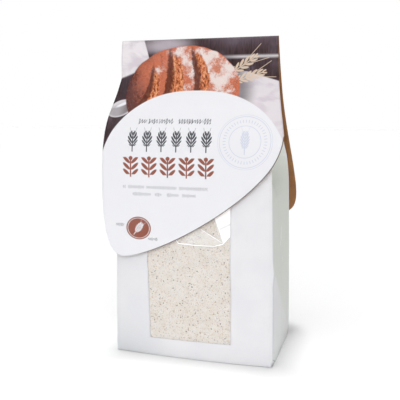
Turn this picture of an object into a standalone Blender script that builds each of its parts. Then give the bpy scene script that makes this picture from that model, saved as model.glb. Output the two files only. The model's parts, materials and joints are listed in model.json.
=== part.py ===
"""A paper bag of wholemeal flour with a window, closed under a folded header card.

Frame: metres, +Z up. The front of the bag faces -Y, and the origin is the middle of its flat base.
Run with: blender --background --python part.py
"""

import math

import bmesh
import bpy
from mathutils import Vector
from mathutils.geometry import interpolate_bezier

MM = 0.001

# The filled bag
BAG_WIDTH = 120 * MM
BAG_DEPTH = 75 * MM
BAG_TOP = 228.6 * MM
BASE_ROUNDING = 1.3 * MM
BASE_TUCK = 0.9 * MM
PAPER = 0.4 * MM
GAP = 0.25 * MM

# Above the shoulder the bag slopes forward to a flat neck, which stands near the front panel.
SHOULDER = 118 * MM
NECK_FOOT = 184 * MM
NECK_THICKNESS = 1.8 * MM
NECK_Y = -24 * MM
GUSSET_CLOSING = 14 * MM

# The flour stands this high inside, and the paper is pressed together above it.
FLOUR_TOP = 150 * MM

# The window in the front panel is a little askew, and its film is glued behind the paper.
WINDOW_WIDTH = 61.5 * MM
WINDOW_FOOT = 13.6 * MM
WINDOW_TOP = 134 * MM
WINDOW_X = -1.6 * MM
WINDOW_LEAN = math.radians(1.0)
FILM = 0.25 * MM
FILM_MARGIN = 5 * MM

# The header card
CARD = 0.5 * MM
FOLD_Z = 229.6 * MM
FOLD_RADIUS = 1.4 * MM
BACK_FLAP_ANGLE = math.radians(32.4)
FLAP_REACH = 175 * MM

# How finely the surfaces are divided
PANEL_STEPS = 12
GUSSET_STEPS = 2
FILM_ROWS = 14
CARD_COLUMNS = 12
CARD_ROWS = 44
FOLD_STEPS = 8

# Shapes of the bag as (height, value) pairs in millimetres, each joined by a smooth curve: how far the
# side edges stand in from the width of the base, how far the front and back panels lean in from the depth
# of the base, how far they swell between their edges, and how far the gusset's crease is folded in.
NARROWING = ((0, 0), (60, 0.8), (118, 2.1), (150, 2.7), (184, 2.5), (229, 2.5))
FRONT_LEAN = ((0, 0), (118, 0), (146, 0.2), (160, 3.1), (172, 8.6), (184, 12.6), (207, 12.6),
              (213, 11.5), (218, 11.3), (223, 12.3), (229, 12.6))
BACK_LEAN = ((0, 0), (112, 0), (124, 0.5), (134, 2.7), (145, 9.1), (155.5, 23.1), (170, 42.5),
             (180, 56.5), (184, 60.6), (229, 60.6))
FRONT_SWELL = ((0, 2.6), (30, 3.0), (70, 2.5), (110, 1.5), (150, 0.7), (184, 0), (229, 0))
BACK_SWELL = ((0, 2.2), (40, 3.0), (90, 2.0), (124, 0.8), (150, 0.5), (184, 0), (229, 0))
GUSSET_FOLD = ((0, -1.3), (44, -1.6), (62, 0.2), (80, 1.8), (118, 2.6))

# The front flap lies on the bag: the y of its middle at each height, in millimetres, from its foot up.
FRONT_FLAP_Y = ((60, -40.2), (90, -40.4), (112, -40.3), (135, -40.0), (152, -39.1), (164, -36.8),
                (176, -32.2), (187, -27.8), (196, -26.1), (204, -26.0), (212, -26.8), (218, -27.0),
                (224, -26.2), (229.6, -25.6))

# Outlines of the two flaps as cubic Bezier curves of (x, distance down from the fold) in millimetres:
# the flared long side, its round tip, the sloping lower edge, the short lobe, and back up to the neck.
FRONT_OUTLINE = (
    ((-58, 29), (-65.3, 50), (-68.3, 80), (-68.3, 118)),
    ((-68.3, 118), (-68.3, 142), (-64, 159), (-53, 159)),
    ((-53, 159), (-30, 159), (37, 120), (57.4, 91.5)),
    ((57.4, 91.5), (62.3, 84), (65, 77), (65, 70)),
    ((65, 70), (64.5, 61), (58, 46), (58, 29)),
)
BACK_OUTLINE = (
    ((58, 40), (58.4, 75), (62.2, 100), (62.2, 128)),
    ((62.2, 128), (62.2, 145), (58, 160), (46, 160)),
    ((46, 160), (24, 160), (-37, 121), (-57.4, 91.5)),
    ((-57.4, 91.5), (-62.3, 84), (-65, 77), (-65, 70)),
    ((-65, 70), (-64.5, 61), (-58, 46), (-58, 29)),
)


def clear_scene():
    for item in list(bpy.data.objects):
        bpy.data.objects.remove(item)


def smooth_value(table, height):
    """The value of a table at a height, along a curve that never overshoots its points."""
    keys = [(h * MM, v * MM) for h, v in table]
    if height >= keys[-1][0]:
        return keys[-1][1]
    slopes = [(b[1] - a[1]) / (b[0] - a[0]) for a, b in zip(keys, keys[1:])]
    tangents = [slopes[0]]
    for before, after in zip(slopes, slopes[1:]):
        tangents.append(2 * before * after / (before + after) if before * after > 0 else 0)
    tangents.append(slopes[-1])
    i = max(k for k in range(len(slopes)) if height >= keys[k][0] or k == 0)
    span = keys[i + 1][0] - keys[i][0]
    t = (height - keys[i][0]) / span
    return (
        keys[i][1] * (1 + 2 * t) * (1 - t) ** 2
        + keys[i + 1][1] * t * t * (3 - 2 * t)
        + span * tangents[i] * t * (1 - t) ** 2
        - span * tangents[i + 1] * t * t * (1 - t)
    )


def half_width(z):
    return BAG_WIDTH / 2 - smooth_value(NARROWING, z)


def front_edge(z):
    return -BAG_DEPTH / 2 + smooth_value(FRONT_LEAN, z)


def back_edge(z):
    return BAG_DEPTH / 2 - smooth_value(BACK_LEAN, z)


def swelling(x, z):
    """Goes from 1 in the middle of a panel to 0 at its edges."""
    return 1 - (x / half_width(z)) ** 2


def front_surface(x, z):
    return front_edge(z) - smooth_value(FRONT_SWELL, z) * swelling(x, z)


def back_surface(x, z):
    return back_edge(z) + smooth_value(BACK_SWELL, z) * swelling(x, z)


def gusset_depth(z):
    """How far the side's middle crease is folded in. The filled foot pushes it out, so it is negative there.

    Above the shoulder the gusset keeps its width, so it folds in as the front and back come together, and
    the neck presses the fold shut.
    """
    if z <= SHOULDER:
        return smooth_value(GUSSET_FOLD, z)
    depth = back_edge(z) - front_edge(z)
    taut = math.sqrt(max(0, (BAG_DEPTH / 2) ** 2 - (depth / 2) ** 2))
    pressed = min(1, max(0, (depth - NECK_THICKNESS) / GUSSET_CLOSING))
    return max(smooth_value(GUSSET_FOLD, z), taut) * pressed


def bag_ring(z, inset=0):
    """The bag's outline at a height, counterclockwise from the front left corner, moved in by the inset."""
    half = half_width(z)
    crease = Vector((half - gusset_depth(z), (front_edge(z) + back_edge(z)) / 2))
    corners = (Vector((half, front_edge(z))), crease, Vector((half, back_edge(z))))
    across = [-half + 2 * half * i / PANEL_STEPS for i in range(PANEL_STEPS + 1)]
    side = []
    for start, end in zip(corners, corners[1:]):
        side += [start.lerp(end, i / GUSSET_STEPS) for i in range(1, GUSSET_STEPS + 1)]
    points = [Vector((x, front_surface(x, z))) for x in across]
    points += side[:-1]
    points += [Vector((x, back_surface(x, z))) for x in reversed(across)]
    points += [Vector((-p.x, p.y)) for p in reversed(side[:-1])]
    return move_in(points, inset)


def move_in(points, inset):
    """A closed counterclockwise outline moved inwards, keeping its corners."""
    moved = []
    for before, here, after in zip(points[-1:] + points[:-1], points, points[1:] + points[:1]):
        arriving, leaving = (here - before).normalized(), (after - here).normalized()
        inward = Vector((-arriving.y, arriving.x)) + Vector((-leaving.y, leaving.x))
        moved.append(here + inward * (inset / (1 + arriving.dot(leaving))))
    return moved


def spread(low, high, steps):
    return [low + (high - low) * i / steps for i in range(steps)]


def bag_levels():
    """Heights of the bag's rings, closer together in the shoulder and up the neck."""
    body = spread(BASE_ROUNDING, SHOULDER, 9)
    shoulder = spread(SHOULDER, NECK_FOOT, 13)
    neck = spread(NECK_FOOT, BAG_TOP, 11)
    return body + shoulder + neck + [BAG_TOP]


def inner_rings(inset, top):
    """Rings of a solid that fills the bag up to a height, everywhere an inset away from its outside."""
    foot = bag_ring(BASE_ROUNDING, inset=inset + BASE_TUCK)
    middle = [z for z in bag_levels() if BASE_ROUNDING < z < top]
    levels = [BASE_ROUNDING + inset, *middle, top]
    return [(foot, inset)] + [(bag_ring(z, inset=inset), z) for z in levels]


def loft(name, rings):
    """A closed solid through rings of (points, height), each with the same number of points."""
    shape = bmesh.new()
    loops = [[shape.verts.new((p.x, p.y, z)) for p in points] for points, z in rings]
    for lower, upper in zip(loops, loops[1:]):
        for i in range(len(lower)):
            j = (i + 1) % len(lower)
            shape.faces.new((lower[i], lower[j], upper[j], upper[i]))
    shape.faces.new(reversed(loops[0]))
    shape.faces.new(loops[-1])
    return object_from(name, shape)


def sheet_solid(name, outer, inner):
    """A closed thin solid between two grids of points with the same rows and columns."""
    shape = bmesh.new()
    grids = [[[shape.verts.new(p) for p in row] for row in grid] for grid in (outer, inner)]
    rows, columns = len(outer), len(outer[0])
    for grid in grids:
        for lower, upper in zip(grid, grid[1:]):
            for j in range(columns - 1):
                shape.faces.new((lower[j], lower[j + 1], upper[j + 1], upper[j]))
    around = [(0, j) for j in range(columns)] + [(i, columns - 1) for i in range(1, rows)]
    around += [(rows - 1, j) for j in range(columns - 2, -1, -1)]
    around += [(i, 0) for i in range(rows - 2, 0, -1)]
    for (i, j), (k, m) in zip(around, around[1:] + around[:1]):
        shape.faces.new((grids[0][i][j], grids[1][i][j], grids[1][k][m], grids[0][k][m]))
    bmesh.ops.recalc_face_normals(shape, faces=shape.faces)
    return object_from(name, shape)


def object_from(name, shape):
    mesh = bpy.data.meshes.new(name)
    shape.to_mesh(mesh)
    shape.free()
    mesh.shade_smooth()
    mesh.set_sharp_from_angle(angle=math.radians(35))
    item = bpy.data.objects.new(name, mesh)
    bpy.context.scene.collection.objects.link(item)
    return item


def helper(item):
    """Marks a cutter, which shapes another object and isn't part of the bag."""
    item.hide_render = True
    item.display_type = "WIRE"
    return item


def cut(item, cutter):
    modifier = item.modifiers.new(cutter.name, "BOOLEAN")
    modifier.operation = "DIFFERENCE"
    modifier.solver = "EXACT"
    modifier.object = cutter


def window_cutter():
    """A block through the front panel only, turned by the window's lean."""
    height = WINDOW_TOP - WINDOW_FOOT
    shape = bmesh.new()
    bmesh.ops.create_cube(shape, size=1)
    bmesh.ops.scale(shape, vec=(WINDOW_WIDTH, BAG_DEPTH / 5, height), verts=shape.verts)
    item = helper(object_from("window_cutter", shape))
    item.location = (WINDOW_X, -BAG_DEPTH / 2, WINDOW_FOOT + height / 2)
    item.rotation_euler = (0, -WINDOW_LEAN, 0)
    return item


def make_bag():
    """The paper: a thin shell round the flour, pressed solid above it, with the window cut out."""
    foot = (bag_ring(BASE_ROUNDING, inset=BASE_TUCK), 0)
    bag = loft("paper_bag", [foot] + [(bag_ring(z), z) for z in bag_levels()])
    cut(bag, helper(loft("flour_room", inner_rings(PAPER, FLOUR_TOP + GAP))))
    cut(bag, window_cutter())
    return bag


def make_flour():
    return loft("flour", inner_rings(PAPER + GAP + FILM + GAP, FLOUR_TOP - GAP))


def make_film():
    """The clear film behind the window, a thin sheet that follows the swell of the front panel."""
    half = WINDOW_WIDTH / 2 + FILM_MARGIN
    columns = [WINDOW_X - half + 2 * half * i / PANEL_STEPS for i in range(PANEL_STEPS + 1)]
    low, high = WINDOW_FOOT - FILM_MARGIN, WINDOW_TOP + FILM_MARGIN
    rows = [low + (high - low) * i / FILM_ROWS for i in range(FILM_ROWS + 1)]
    outer, inner = (
        [[Vector((x, front_surface(x, z) + depth, z)) for x in columns] for z in rows]
        for depth in (PAPER + GAP, PAPER + GAP + FILM)
    )
    return sheet_solid("window_film", outer, inner)


def fold_path():
    """The card's middle line in the plane x = 0, from the front flap's foot over the fold to the back.

    Returns (y, z) points, and the index of the highest one, which is the fold.
    """
    foot = FRONT_FLAP_Y[0][0] * MM
    heights = spread(foot, FOLD_Z, 120) + [FOLD_Z]
    path = [Vector((smooth_value(FRONT_FLAP_Y, z), z)) for z in heights]
    centre = Vector((path[-1].x + FOLD_RADIUS, FOLD_Z))
    for i in range(1, FOLD_STEPS + 1):
        angle = (math.pi - BACK_FLAP_ANGLE) * i / FOLD_STEPS
        path.append(centre + FOLD_RADIUS * Vector((-math.cos(angle), math.sin(angle))))
    down = Vector((math.sin(BACK_FLAP_ANGLE), -math.cos(BACK_FLAP_ANGLE)))
    path.append(path[-1] + down * FLAP_REACH)
    fold = max(range(len(path)), key=lambda i: path[i].y)
    return path, fold


def along(points, distance):
    """The point at a distance along a line of points, and the direction of travel there."""
    for start, end in zip(points, points[1:]):
        step = (end - start).length
        if distance <= step:
            return start.lerp(end, distance / step), (end - start) / step
        distance -= step
    return points[-1], (points[-1] - points[-2]).normalized()


def outline_sides(curves):
    """A flap's two edges as lists of (distance from the fold, x), each from the neck to the flap's foot."""
    points = []
    for curve in curves:
        points += interpolate_bezier(*[Vector((x * MM, down * MM, 0)) for x, down in curve], 24)
    foot = max(range(len(points)), key=lambda i: points[i].y)
    long_side = [(p.y, p.x) for p in points[: foot + 1]]
    short_side = [(p.y, p.x) for p in reversed(points[foot:])]
    return long_side, short_side


def edge_x(edge, distance):
    """The x of an edge at a distance from the fold. Above the flare the edge is the straight neck."""
    if distance <= edge[0][0]:
        return edge[0][1]
    for (s0, x0), (s1, x1) in zip(edge, edge[1:]):
        if s0 <= distance <= s1 and s1 > s0:
            return x0 + (x1 - x0) * (distance - s0) / (s1 - s0)
    return edge[-1][1]


def flap_distances(length):
    """Rows down a flap: close together over the fold, and again towards the round foot."""
    fold = [0.7 * MM, 1.5 * MM, 2.6 * MM, 4.2 * MM]
    count = CARD_ROWS - len(fold)
    parts = [i / count for i in range(1, count + 1)]
    return fold + [fold[-1] + (length - fold[-1]) * (0.3 * t + 0.7 * math.sin(t * math.pi / 2)) for t in parts]


def flap_rows(curves, points, turn):
    """Rows of (left x, right x, middle (y, z), normal (y, z)) down one flap, from the fold."""
    sides = outline_sides(curves)
    foot = sides[0][-1][0] - 0.08 * MM
    rows = []
    for distance in flap_distances(foot):
        middle, direction = along(points, distance)
        left, right = sorted(edge_x(side, distance) for side in sides)
        rows.append((left, right, middle, Vector((-direction.y, direction.x)) * turn))
    return rows


def make_card():
    """One piece of card folded over the neck: the front flap, the fold and the back flap."""
    path, fold = fold_path()
    front = flap_rows(FRONT_OUTLINE, path[fold::-1], turn=-1)
    back = flap_rows(BACK_OUTLINE, path[fold:], turn=1)
    grids = []
    for offset in (CARD / 2, -CARD / 2):
        grid = []
        for left, right, middle, normal in front[::-1] + back:
            y, z = middle + normal * offset
            across = [left + (right - left) * i / CARD_COLUMNS for i in range(CARD_COLUMNS + 1)]
            grid.append([Vector((x, y, z)) for x in across])
        grids.append(grid)
    return sheet_solid("header_card", *grids)


def finish(item, colour, roughness, alpha=1.0):
    """A plain finish in the object's own colour."""
    material = bpy.data.materials.new(item.name)
    material.use_nodes = True
    shader = material.node_tree.nodes["Principled BSDF"]
    shader.inputs["Base Color"].default_value = (*colour, 1)
    shader.inputs["Roughness"].default_value = roughness
    shader.inputs["Metallic"].default_value = 0
    shader.inputs["Alpha"].default_value = alpha
    item.data.materials.append(material)


def main():
    clear_scene()
    finish(make_bag(), colour=(0.86, 0.86, 0.87), roughness=0.75)
    finish(make_flour(), colour=(0.78, 0.70, 0.60), roughness=0.95)
    finish(make_film(), colour=(0.95, 0.95, 0.95), roughness=0.12, alpha=0.2)
    finish(make_card(), colour=(0.84, 0.84, 0.88), roughness=0.4)


main()
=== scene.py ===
import bmesh
import bpy
import json
import math
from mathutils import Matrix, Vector, noise
from mathutils.geometry import interpolate_bezier

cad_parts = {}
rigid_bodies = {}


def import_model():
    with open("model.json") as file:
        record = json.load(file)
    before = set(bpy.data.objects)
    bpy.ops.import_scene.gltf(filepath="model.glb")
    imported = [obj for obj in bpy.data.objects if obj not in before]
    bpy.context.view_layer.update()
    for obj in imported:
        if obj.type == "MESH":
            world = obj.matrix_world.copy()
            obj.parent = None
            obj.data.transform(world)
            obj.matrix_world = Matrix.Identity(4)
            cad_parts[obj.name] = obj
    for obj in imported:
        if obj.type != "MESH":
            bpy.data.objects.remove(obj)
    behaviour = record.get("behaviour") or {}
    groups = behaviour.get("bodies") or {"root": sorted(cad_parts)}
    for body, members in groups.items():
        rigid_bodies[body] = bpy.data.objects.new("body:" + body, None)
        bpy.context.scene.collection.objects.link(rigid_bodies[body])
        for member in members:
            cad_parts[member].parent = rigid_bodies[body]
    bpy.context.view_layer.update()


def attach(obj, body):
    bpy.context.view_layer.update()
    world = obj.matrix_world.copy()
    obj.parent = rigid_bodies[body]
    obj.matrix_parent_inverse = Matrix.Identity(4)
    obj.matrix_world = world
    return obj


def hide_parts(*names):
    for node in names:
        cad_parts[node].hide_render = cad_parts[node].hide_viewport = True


# A paper bag of wholemeal flour: the bag with its clear window, the flour and bran behind the film, and a
# printed card folded over the neck. Shapes are worked out in millimetres, with the front towards -Y, and
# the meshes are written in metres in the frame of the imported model.

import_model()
mm = 0.001


# Curves and outlines

def curveValue(table, height):
    # value of a table of (height, value) pairs, on a curve that never overshoots them
    if height >= table[-1][0]:
        return table[-1][1]
    if height <= table[0][0]:
        return table[0][1]
    slopes = [(b[1] - a[1]) / (b[0] - a[0]) for a, b in zip(table, table[1:])]
    tangents = [slopes[0]]
    for before, after in zip(slopes, slopes[1:]):
        tangents.append(2 * before * after / (before + after) if before * after > 0 else 0)
    tangents.append(slopes[-1])
    i = max(k for k in range(len(slopes)) if height >= table[k][0])
    span = table[i + 1][0] - table[i][0]
    t = (height - table[i][0]) / span
    return (
        table[i][1] * (1 + 2 * t) * (1 - t) ** 2
        + table[i + 1][1] * t * t * (3 - 2 * t)
        + span * tangents[i] * t * (1 - t) ** 2
        - span * tangents[i + 1] * t * t * (1 - t)
    )


def clamp(value, low=0.0, high=1.0):
    return max(low, min(high, value))


def mix(a, b, share):
    return a + (b - a) * share


def smoothStep(value, low, high):
    t = clamp((value - low) / (high - low))
    return t * t * (3 - 2 * t)


def spread(low, high, steps):
    return [low + (high - low) * i / steps for i in range(steps)]


def meshObject(name, points, faces, materials=()):
    # points in millimetres
    mesh = bpy.data.meshes.new(name)
    mesh.from_pydata([(x * mm, y * mm, z * mm) for x, y, z in points], [], faces)
    mesh.validate()
    mesh.shade_smooth()
    item = bpy.data.objects.new(name, mesh)
    bpy.context.scene.collection.objects.link(item)
    for material in materials:
        mesh.materials.append(material)
    return item


def storeNumbers(item, name, values):
    attribute = item.data.attributes.new(name, "FLOAT", "POINT")
    attribute.data.foreach_set("value", values)


def addWall(item, thickness):
    wall = item.modifiers.new("wall", "SOLIDIFY")
    wall.thickness = thickness * mm
    wall.offset = -1
    wall.use_even_offset = True
    return wall


def plainMesh(item, name):
    # the evaluated result as a new object with no modifiers
    graph = bpy.context.evaluated_depsgraph_get()
    mesh = bpy.data.meshes.new_from_object(item.evaluated_get(graph), depsgraph=graph)
    mesh.name = name
    bpy.data.objects.remove(item)
    made = bpy.data.objects.new(name, mesh)
    bpy.context.scene.collection.objects.link(made)
    return made


# Shader trees

class Val:
    # one output socket, so that sums on it read as sums
    def __init__(self, graph, socket):
        self.graph = graph
        self.socket = socket

    def also(self, name):
        return Val(self.graph, self.socket.node.outputs[name])

    def __add__(self, other):
        return self.graph.maths("ADD", self, other)

    def __radd__(self, other):
        return self.graph.maths("ADD", other, self)

    def __sub__(self, other):
        return self.graph.maths("SUBTRACT", self, other)

    def __rsub__(self, other):
        return self.graph.maths("SUBTRACT", other, self)

    def __mul__(self, other):
        return self.graph.maths("MULTIPLY", self, other)

    def __rmul__(self, other):
        return self.graph.maths("MULTIPLY", other, self)

    def __truediv__(self, other):
        return self.graph.maths("DIVIDE", self, other)

    def __rtruediv__(self, other):
        return self.graph.maths("DIVIDE", other, self)

    def __pow__(self, other):
        return self.graph.maths("POWER", self, other)

    def __neg__(self):
        return self * -1.0

    def __abs__(self):
        return self.graph.maths("ABSOLUTE", self)


def srgb(red, green, blue):
    # a colour as read off a screen, 0 to 255, as linear light
    parts = [v / 255 for v in (red, green, blue)]
    return (*[p / 12.92 if p <= 0.04045 else ((p + 0.055) / 1.055) ** 2.4 for p in parts], 1.0)


class Graph:
    def __init__(self, name, look, **fixed):
        self.look = look  # colours that can be given by name
        self.material = bpy.data.materials.new(name)
        self.material.use_nodes = True
        self.tree = self.material.node_tree
        self.shader = self.tree.nodes["Principled BSDF"]
        for key, value in fixed.items():
            self.shader.inputs[key.replace("_", " ")].default_value = value

    def node(self, kind, settings=None, inputs=None, out=0):
        made = self.tree.nodes.new(kind)
        for key, value in (settings or {}).items():
            setattr(made, key, value)
        for key, value in (inputs or {}).items():
            self.feed(made.inputs[key], value)
        return Val(self, made.outputs[out])

    def feed(self, socket, value):
        if isinstance(value, Val):
            self.tree.links.new(value.socket, socket)
        else:
            socket.default_value = self.look[value] if isinstance(value, str) else value

    def give(self, name, value):
        self.feed(self.shader.inputs[name], value)

    def maths(self, operation, *values):
        return self.node("ShaderNodeMath", {"operation": operation}, dict(enumerate(values)))

    def lowest(self, a, b):
        return self.maths("MINIMUM", a, b)

    def highest(self, *values):
        top = values[0]
        for value in values[1:]:
            top = self.maths("MAXIMUM", top, value)
        return top

    def wrap(self, value, period):
        # from minus half a period to plus half
        return self.maths("WRAP", value, period / 2, -period / 2)

    def step(self, value, low, high):
        return self.node("ShaderNodeMapRange", {"interpolation_type": "SMOOTHSTEP"},
                         {"Value": value, "From Min": low, "From Max": high})

    def under(self, value, edge, soft):
        return 1 - self.step(value, edge - soft, edge + soft)

    def over(self, value, edge, soft):
        return self.step(value, edge - soft, edge + soft)

    def band(self, value, low, high, soft):
        return self.over(value, low, soft) * self.under(value, high, soft)

    def blend(self, factor, a, b):
        return self.node("ShaderNodeMix", {"data_type": "RGBA"}, {0: factor, 6: a, 7: b}, 2)

    def paint(self, base, *layers):
        # layers of (mask, colour) over a base colour, the last on top
        for mask, colour in layers:
            base = self.blend(mask, base, colour)
        return base

    def vector(self, x, y, z=0.0):
        return self.node("ShaderNodeCombineXYZ", None, {0: x, 1: y, 2: z})

    def parts(self, vector):
        split = self.node("ShaderNodeSeparateXYZ", None, {0: vector})
        return [split.also(axis) for axis in "XYZ"]

    def place(self):
        # object coordinates in millimetres as (x, y, z)
        return [part * 1000 for part in self.parts(self.node("ShaderNodeTexCoord").also("Object"))]

    def attribute(self, name, output="Fac"):
        return self.node("ShaderNodeAttribute", {"attribute_name": name}).also(output)

    def noise(self, vector, scale, detail=2.0, roughness=0.5, distortion=0.0):
        inputs = {"Vector": vector, "Scale": scale, "Detail": detail}
        return self.node("ShaderNodeTexNoise", None,
                         {**inputs, "Roughness": roughness, "Distortion": distortion})

    def bump(self, height, strength, distance, normal=None):
        inputs = {"Height": height, "Strength": strength, "Distance": distance * mm}
        if normal:
            inputs["Normal"] = normal
        return self.node("ShaderNodeBump", None, inputs)

    def length(self, a, b):
        return self.maths("SQRT", a * a + b * b)

    def disc(self, x, y, centre, radii, soft):
        # 1 inside an ellipse, with a soft rim in millimetres
        far = self.length((x - centre[0]) / radii[0], (y - centre[1]) / radii[1])
        return self.under(far, 1.0, soft / min(radii))

    def turned(self, x, y, centre, degrees):
        c = math.cos(math.radians(degrees))
        s = math.sin(math.radians(degrees))
        dx = x - centre[0]
        dy = y - centre[1]
        return dx * c + dy * s, dy * c - dx * s

    def stroke(self, x, y, start, end, width, soft):
        # a line from start to end
        run = (end[0] - start[0], end[1] - start[1])
        size = run[0] ** 2 + run[1] ** 2
        along = ((x - start[0]) * run[0] + (y - start[1]) * run[1]) / size
        along = self.lowest(self.highest(along, 0.0), 1.0)
        far = self.length(x - start[0] - along * run[0], y - start[1] - along * run[1])
        return self.under(far, width / 2, soft)


# The bag's shape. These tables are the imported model's own.

bag = {
    "width": 120.0,
    "depth": 75.0,
    "top": 228.6,
    "paper": 0.25,  # thickness of the sheet
    "edgeRadius": 0.8,
    "creaseRadius": 0.5,
    "baseGap": 0.18,  # room for the folds under the base
    "baseRounding": 0.5,
    "baseTuck": 0.3,
    "cornerTuck": 1.3,  # the folded corners at the foot stand in by this
    "leftTuck": 0.4,
    "cornerHeight": 6.0,
    "cornerSlope": 0.5,
    "edgeKink": 0.75,  # the front right edge stands out by this where the side's crease meets it
    "kinkLevels": (56, 63, 78),
    "edgeBumps": ((0.45, 70, 4), (-0.5, 62, 4.5)),  # small swell and dent beside the kink
    "pressed": 0.45,  # gap between the folded sides where the neck is flat
    "wearReach": 1.6,
    "bulge": -1.45,  # the sides stand out by this under their crease
    "sideFold": 2.9,
    "creaseReach": 25.0,
    "relief": 0.34,
    "reliefSize": 36.0,
    "ripple": 0.1,
    "rippleSize": 13.0,
    "cornerSag": 0.25,  # the front sinks in by this at its lower left
    "lapX": 9.0,  # the glued lap down the back
    "lapStep": 0.22,
}
narrowing = ((0, 0), (60, 0.8), (118, 2.1), (150, 2.7), (184, 2.5), (229, 2.5))
frontLean = ((0, 0), (118, 0), (146, 0.2), (160, 3.1), (172, 8.6), (184, 12.6), (207, 12.6),
             (213, 11.5), (218, 11.3), (223, 12.3), (229, 12.6))
backLean = ((0, 0), (112, 0), (124, 0.5), (134, 2.7), (145, 9.1), (155.5, 23.1), (170, 42.5),
            (180, 56.5), (184, 60.6), (229, 60.6))
frontSwell = ((0, 2.6), (30, 3.0), (70, 2.5), (110, 1.5), (150, 0.7), (184, 0), (229, 0))
backSwell = ((0, 2.2), (40, 3.0), (90, 2.0), (124, 0.8), (150, 0.5), (184, 0), (229, 0))
window = {
    "foot": 13.9,
    "top": 134.0,
    "tilt": 0.013,  # the foot rises this much per millimetre to the right
    "left": ((0, -31.7), (13.5, -31.8), (42, -32.7), (66, -33.3), (70, -33.8), (77.6, -33.7), (134, -33.6)),
    "right": ((0, 29.8), (14.3, 29.7), (47.5, 29.6), (76.6, 28.8), (111, 28.6), (134, 28.6)),
}
# where the crease of each side panel starts at the upright edge, and how far it falls to the middle fold
sideCreases = {"rightFront": (68, 18), "rightBack": (63, 13), "leftFront": (61, 12), "leftBack": (70, 20)}


def edgeBump(z):
    return sum(size * math.exp(-((z - middle) / reach) ** 2) for size, middle, reach in bag["edgeBumps"])


def bagRow(z):
    return {
        "z": z,
        "half": bag["width"] / 2 - curveValue(narrowing, z),
        "front": -bag["depth"] / 2 + curveValue(frontLean, z),
        "back": bag["depth"] / 2 - curveValue(backLean, z),
        "frontSwell": curveValue(frontSwell, z),
        "backSwell": curveValue(backSwell, z),
        "windowLeft": curveValue(window["left"], z),
        "windowRight": curveValue(window["right"], z),
    }


def frontY(row, x):
    sag = smoothStep(-x, 6, 36) * smoothStep(row["half"] + x, 0, 24)
    sag *= smoothStep(-row["z"], -42, -8) * smoothStep(row["z"], 0, 6)
    return row["front"] - row["frontSwell"] * (1 - (x / row["half"]) ** 2) + bag["cornerSag"] * sag


def backY(row, x):
    return row["back"] + row["backSwell"] * (1 - (x / row["half"]) ** 2)


def sideInset(row, crease, t):
    # how far the side stands in at t, from 0 at the upright edge to 1 at the middle fold
    z = row["z"]
    high, drop = sideCreases[crease]
    above = z - (high - drop * t)
    turn = 1 - math.exp(-above / bag["creaseReach"]) if above > 0 else 0.0
    inset = mix(bag["bulge"], bag["sideFold"], turn)
    depth = row["back"] - row["front"]
    taut = math.sqrt(max(0.0, (bag["depth"] / 2) ** 2 - (depth / 2) ** 2))
    return max(inset, taut)


def sidePoints(row, layout, side):
    # the right side from its front edge round the fold to its back edge. The left side mirrors it.
    half = row["half"]
    front = row["front"]
    back = row["back"]
    middle = (front + back) / 2
    pressed = bag["pressed"] * clamp(1 - (back - front - 2) / 12)
    radius = bag["edgeRadius"]
    points = []
    for crease, edge, sign in ((side + "Front", front, 1), (side + "Back", back, -1)):
        start = edge + sign * pressed
        bump = edgeBump(row["z"]) if crease == "rightFront" else 0.0

        def panel(t):
            standsOut = bump * math.exp(-t * 9) - sideInset(row, crease, t) * t
            return Vector((half + standsOut, mix(start, middle, t)))

        size = (panel(1) - panel(0)).length
        first = radius / size
        last = 1 - bag["creaseRadius"] / size
        edgeX = half - radius
        wall = Vector((edgeX, frontY(row, edgeX) if sign > 0 else backY(row, edgeX)))
        corner = [wall, Vector((half + bump, edge)), panel(0), panel(first)]
        turn = [cubicPoint(corner, i / (layout["corner"] + 1)) for i in range(1, layout["corner"] + 1)]
        steps = [panel(first + (last - first) * i / layout["panel"]) for i in range(layout["panel"] + 1)]
        wear = [1.0] * len(turn)
        wear += [math.exp(-min(i, layout["panel"] - i) * size / layout["panel"] / bag["wearReach"])
                 for i in range(layout["panel"] + 1)]
        run = list(zip(turn + steps, wear))
        if sign > 0:
            points += run
            foldStart = steps[-1]
            foldTip = panel(1)
        else:
            foldEnd = steps[-1]
            count = layout["fold"]
            bend = [foldStart, foldTip, foldTip, foldEnd]
            points += [(cubicPoint(bend, i / (count + 1)), 1.0) for i in range(1, count + 1)]
            points += run[::-1]
    return points


def cubicPoint(points, t):
    a, b, c, d = points
    return a * (1 - t) ** 3 + b * (3 * t * (1 - t) ** 2) + c * (3 * t * t * (1 - t)) + d * t ** 3


def sectionPoints(row, layout):
    # the outline at a height, counterclockwise from the front left, as (point, wear)
    radius = bag["edgeRadius"]
    half = row["half"]
    stops = (radius - half, row["windowLeft"], row["windowRight"], half - radius)
    across = []
    for low, high, part in zip(stops, stops[1:], ("left", "window", "right")):
        across += spread(low, high, layout[part])
    across.append(stops[-1])

    def edgeWear(x):
        return math.exp(-(half - abs(x) - radius) / bag["wearReach"])

    points = [(Vector((x, frontY(row, x))), edgeWear(x)) for x in across]
    points += sidePoints(row, layout, "right")
    lap = bag["lapX"]
    behind = spread(half - radius, lap + 0.3, layout["back"] // 2) + [lap + 0.3]
    behind += spread(lap - 0.3, radius - half, layout["back"] // 2) + [radius - half]
    for x in behind:
        step = bag["lapStep"] if x < lap else 0.0
        step *= smoothStep(abs(x) - half, -3, -12) if x < 0 else 1.0
        points.append((Vector((x, backY(row, x) + step)), edgeWear(x)))
    left = sidePoints(row, layout, "left")
    points += [(Vector((-p.x, p.y)), wear) for p, wear in reversed(left)]
    return points


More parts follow.
